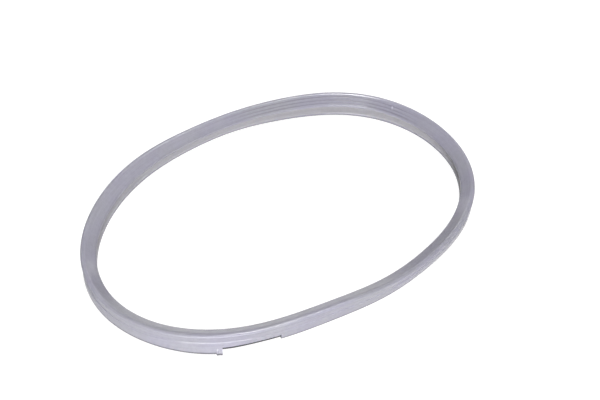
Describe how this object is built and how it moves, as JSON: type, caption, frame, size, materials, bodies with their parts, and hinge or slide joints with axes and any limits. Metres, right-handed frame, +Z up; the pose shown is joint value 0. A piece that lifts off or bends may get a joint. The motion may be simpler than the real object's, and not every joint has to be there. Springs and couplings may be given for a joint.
{
  "type": "pressure cooker sealing ring",
  "caption": "Silicone lid gasket for a stovetop pressure cooker: a lip seal with an inward channel and a relief window, lying relaxed as an oval loop.",
  "frame": {"origin": "middle of the ring's box, at the base that the ring lies on", "axes": "+Z up, through the ring; +X along the long axis of the oval loop; the relief window is on the -X -Y side"},
  "size_m": [0.2704, 0.1854, 0.0131],
  "materials": {
    "silicone": "glossy, milky translucent silicone with a grey-lavender cast"
  },
  "bodies": {
    "root": {"sealing_ring": "silicone"}
  },
  "joints": []
}
